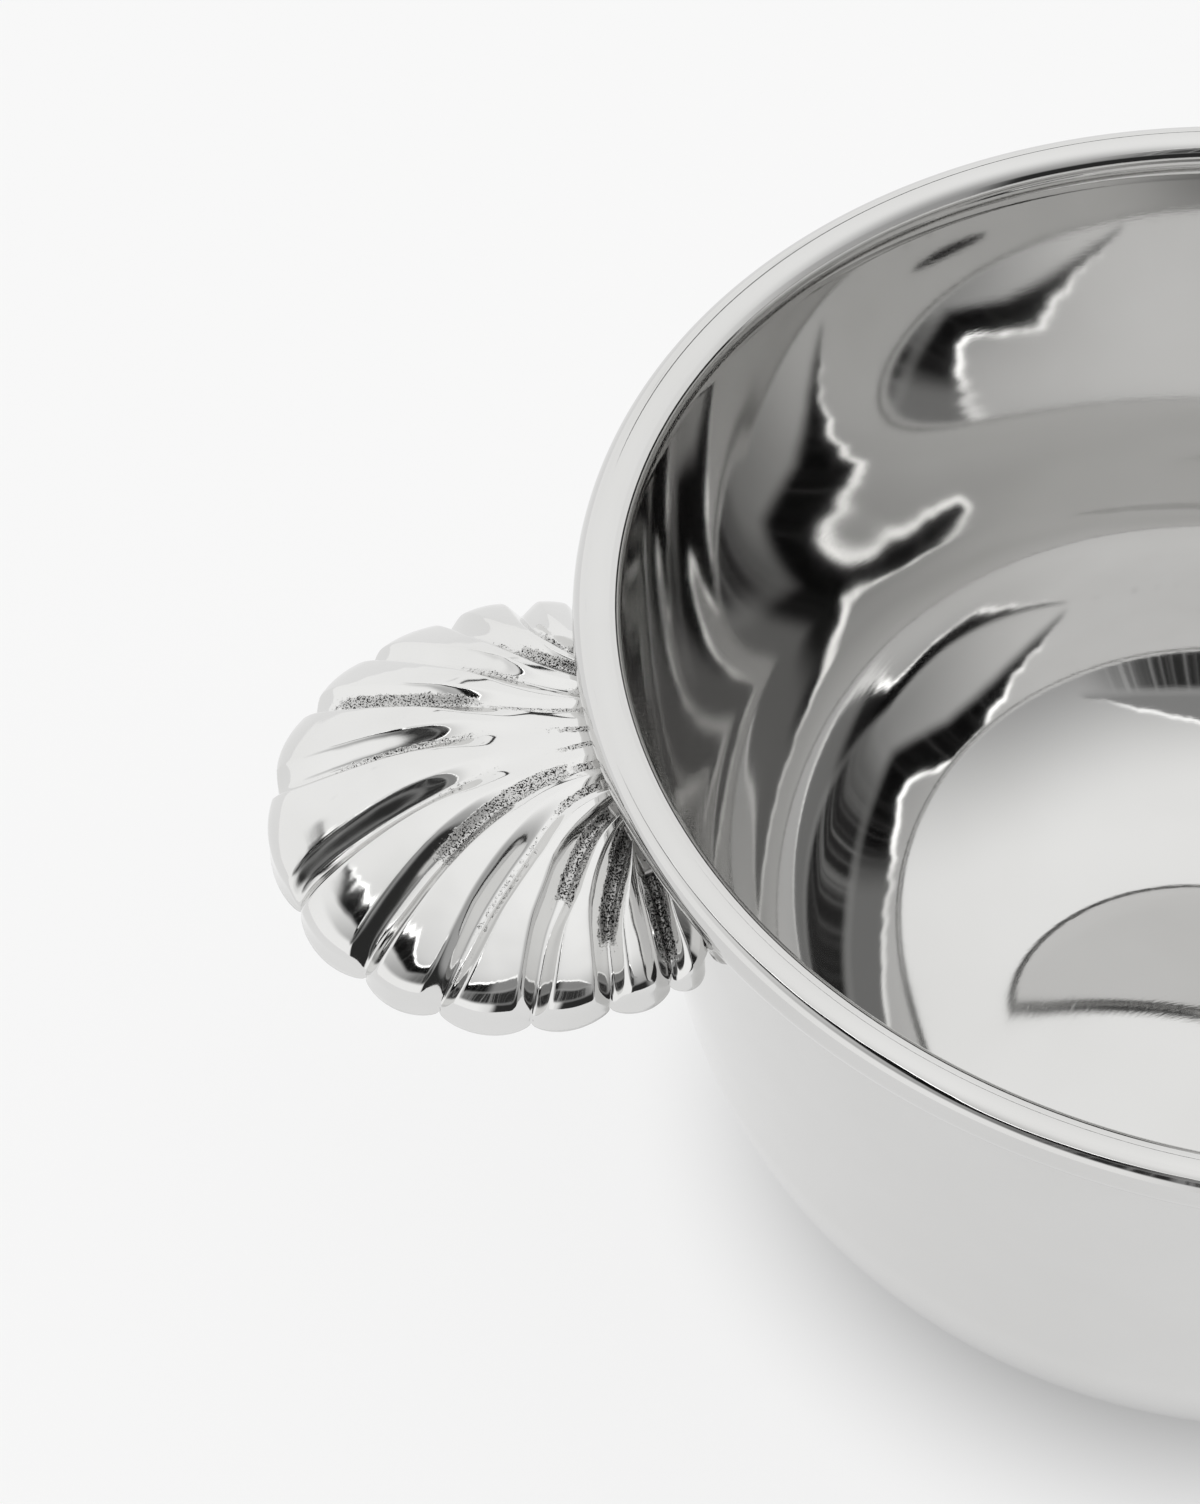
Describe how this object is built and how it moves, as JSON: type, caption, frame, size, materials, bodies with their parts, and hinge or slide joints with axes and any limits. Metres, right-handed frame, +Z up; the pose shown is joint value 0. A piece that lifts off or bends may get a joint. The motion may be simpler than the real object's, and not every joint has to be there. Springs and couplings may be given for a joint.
{
  "type": "sauce bowl",
  "caption": "Deep round polished silver sauce bowl with a thick rounded rim wire and opposed scallop-shell lug handles, standing on a small flat base",
  "frame": {"origin": "centre of the flat base, on the surface that the bowl stands on", "axes": "+Z up through the open mouth, +X towards one shell lug, +Y across, level with the mouth"},
  "size_m": [0.1636, 0.1138, 0.0641],
  "materials": {
    "polished_silver": "mirror-polished silver",
    "cast_silver": "polished cast silver with oxidised, sandy grooves",
    "silver_solder": "matt grey silver solder"
  },
  "bodies": {
    "root": {"bowl_body": "polished_silver", "rim_wire": "polished_silver", "shell_handle_left": "cast_silver", "shell_handle_right": "cast_silver", "solder_seam_left": "silver_solder", "solder_seam_right": "silver_solder"}
  },
  "joints": []
}
